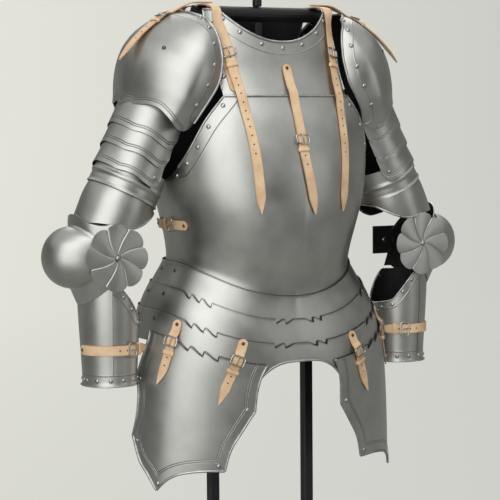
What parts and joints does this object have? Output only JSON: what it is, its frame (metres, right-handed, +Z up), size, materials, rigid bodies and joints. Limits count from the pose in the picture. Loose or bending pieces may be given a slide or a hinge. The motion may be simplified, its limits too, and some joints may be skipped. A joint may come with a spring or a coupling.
{
  "type": "suit of plate armour on a stand",
  "caption": "Half suit of steel plate armour with leather straps, both arms, skirt lames and tassets, hung on a black two-legged armour stand.",
  "frame": {"origin": "centre of the underside of the stand's base, on the floor", "axes": "+Z up, -Y the way the suit faces, +X its left arm"},
  "size_m": [0.7952, 0.3664, 1.525],
  "materials": {
    "plate_steel": "satin brushed steel plate",
    "strap_leather": "natural tan leather",
    "stand_black": "satin black paint"
  },
  "bodies": {
    "suit_and_stand": {"breast_upper": "plate_steel", "breast_lower": "plate_steel", "backplate": "plate_steel", "fauld_1": "plate_steel", "fauld_2": "plate_steel", "fauld_3": "plate_steel", "culet_1": "plate_steel", "culet_2": "plate_steel", "culet_3": "plate_steel", "pauldron_L": "plate_steel", "arm_lame_1_L": "plate_steel", "arm_lame_2_L": "plate_steel", "arm_lame_3_L": "plate_steel", "turner_ring_L": "plate_steel", "tasset_L": "plate_steel", "pauldron_R": "plate_steel", "arm_lame_1_R": "plate_steel", "arm_lame_2_R": "plate_steel", "arm_lame_3_R": "plate_steel", "turner_ring_R": "plate_steel", "tasset_R": "plate_steel", "centre_strap": "strap_leather", "chest_strap_L": "strap_leather", "side_strap_L": "strap_leather", "tasset_strap_outer_L": "strap_leather", "tasset_strap_inner_L": "strap_leather", "pauldron_strap_L": "strap_leather", "chest_strap_R": "strap_leather", "side_strap_R": "strap_leather", "tasset_strap_outer_R": "strap_leather", "tasset_strap_inner_R": "strap_leather", "pauldron_strap_R": "strap_leather", "stand_base": "stand_black", "stand_leg_L": "stand_black", "stand_leg_R": "stand_black", "stand_crossbar": "stand_black", "stand_post": "stand_black", "stand_shoulder_bar": "stand_black", "stand_finial": "stand_black"},
    "upper_arm_L": {"upper_cannon_L": "plate_steel", "elbow_lame_upper_L": "plate_steel"},
    "elbow_L": {"couter_L": "plate_steel", "rosette_L": "plate_steel", "elbow_ear_L": "plate_steel"},
    "forearm_L": {"elbow_lame_lower_L": "plate_steel", "vambrace_outer_L": "plate_steel", "vambrace_inner_L": "plate_steel", "vambrace_strap_L": "strap_leather"},
    "upper_arm_R": {"upper_cannon_R": "plate_steel", "elbow_lame_upper_R": "plate_steel"},
    "elbow_R": {"couter_R": "plate_steel", "rosette_R": "plate_steel", "elbow_ear_R": "plate_steel"},
    "forearm_R": {"elbow_lame_lower_R": "plate_steel", "vambrace_outer_R": "plate_steel", "vambrace_inner_R": "plate_steel", "vambrace_strap_R": "strap_leather"}
  },
  "joints": [
    {"name": "upper_arm_turn_L", "type": "hinge", "parent": "suit_and_stand", "child": "upper_arm_L", "pos_m": [0.305, 0.02, 1.048], "axis": [-0.4305, 0, 0.9026], "range_deg": [-40, 40]},
    {"name": "elbow_L", "type": "hinge", "parent": "upper_arm_L", "child": "elbow_L", "pos_m": [0.296, 0.02, 1.045], "axis": [0, -1, 0], "range_deg": [0, 5]},
    {"name": "forearm_L", "type": "hinge", "parent": "elbow_L", "child": "forearm_L", "pos_m": [0.296, 0.02, 1.045], "axis": [0, -1, 0], "range_deg": [0, 5]},
    {"name": "upper_arm_turn_R", "type": "hinge", "parent": "suit_and_stand", "child": "upper_arm_R", "pos_m": [-0.305, 0.02, 1.048], "axis": [0.4305, 0, 0.9026], "range_deg": [-40, 40]},
    {"name": "elbow_R", "type": "hinge", "parent": "upper_arm_R", "child": "elbow_R", "pos_m": [-0.296, 0.02, 1.045], "axis": [0, 1, 0], "range_deg": [0, 5]},
    {"name": "forearm_R", "type": "hinge", "parent": "elbow_R", "child": "forearm_R", "pos_m": [-0.296, 0.02, 1.045], "axis": [0, 1, 0], "range_deg": [0, 5]}
  ],
  "couplings": [
    {"joint": "forearm_L", "follows": "elbow_L", "ratio": 1},
    {"joint": "forearm_R", "follows": "elbow_R", "ratio": 1}
  ]
}
